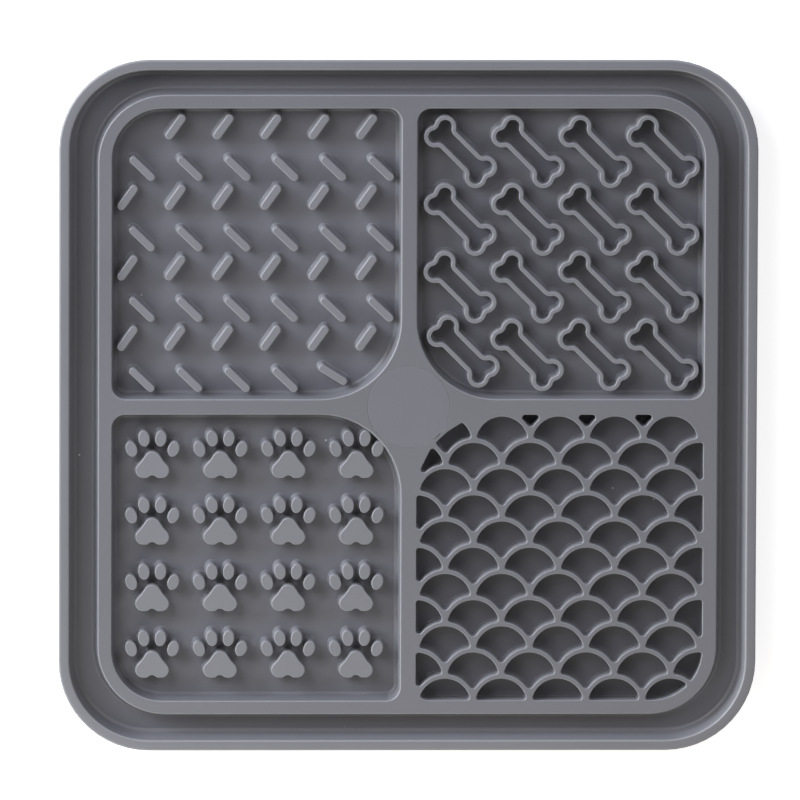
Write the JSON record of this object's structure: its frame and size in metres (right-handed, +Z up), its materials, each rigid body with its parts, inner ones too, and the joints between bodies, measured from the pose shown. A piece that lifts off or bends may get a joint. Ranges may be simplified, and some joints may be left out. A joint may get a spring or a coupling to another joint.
{
  "type": "pet lick mat",
  "caption": "Square silicone lick mat with a raised rim, a gutter and walled wells of bars, bones, paws and fish scales, on moulded suction cups",
  "frame": {"origin": "middle of the mat's footprint, on the surface that the suction cups' lips stand on", "axes": "+X to the right, to the side with the bones and the fish scales; +Y to the far side, with the bars and the bones; +Z up, out of the textured face"},
  "size_m": [0.2, 0.2, 0.0121],
  "materials": {
    "floor_silicone": "matte silicone",
    "wall_silicone": "satin silicone",
    "plate_silicone": "satin silicone",
    "texture_silicone": "satin silicone",
    "cup_silicone": "satin silicone"
  },
  "bodies": {
    "cups": {"suction_cups": "cup_silicone"},
    "mat": {"base_sheet": "floor_silicone", "outer_rim": "wall_silicone", "pocket_frame": "wall_silicone", "dividing_cross": "wall_silicone", "centre_plate": "plate_silicone", "bar_row_01": "texture_silicone", "bar_row_02": "texture_silicone", "bar_row_03": "texture_silicone", "bar_row_04": "texture_silicone", "bar_row_05": "texture_silicone", "bar_row_06": "texture_silicone", "bar_row_07": "texture_silicone", "bar_row_08": "texture_silicone", "bone_01": "texture_silicone", "bone_02": "texture_silicone", "bone_03": "texture_silicone", "bone_04": "texture_silicone", "bone_05": "texture_silicone", "bone_06": "texture_silicone", "bone_07": "texture_silicone", "bone_08": "texture_silicone", "bone_09": "texture_silicone", "bone_10": "texture_silicone", "bone_11": "texture_silicone", "bone_12": "texture_silicone", "bone_13": "texture_silicone", "bone_14": "texture_silicone", "bone_15": "texture_silicone", "bone_16": "texture_silicone", "paw_01": "texture_silicone", "paw_02": "texture_silicone", "paw_03": "texture_silicone", "paw_04": "texture_silicone", "paw_05": "texture_silicone", "paw_06": "texture_silicone", "paw_07": "texture_silicone", "paw_08": "texture_silicone", "paw_09": "texture_silicone", "paw_10": "texture_silicone", "paw_11": "texture_silicone", "paw_12": "texture_silicone", "paw_13": "texture_silicone", "paw_14": "texture_silicone", "paw_15": "texture_silicone", "paw_16": "texture_silicone", "scale_row_01": "texture_silicone", "scale_row_02": "texture_silicone", "scale_row_03": "texture_silicone", "scale_row_04": "texture_silicone", "scale_row_05": "texture_silicone", "scale_row_06": "texture_silicone", "scale_row_07": "texture_silicone", "scale_row_08": "texture_silicone", "scale_row_09": "texture_silicone", "scale_row_10": "texture_silicone", "scale_row_11": "texture_silicone"}
  },
  "joints": [
    {"name": "cup_press", "type": "slide", "parent": "cups", "child": "mat", "axis": [0, 0, -1], "range_m": [0, 0.0012], "stiffness_N_per_m": 5000, "deforming": ["suction_cups"]}
  ]
}
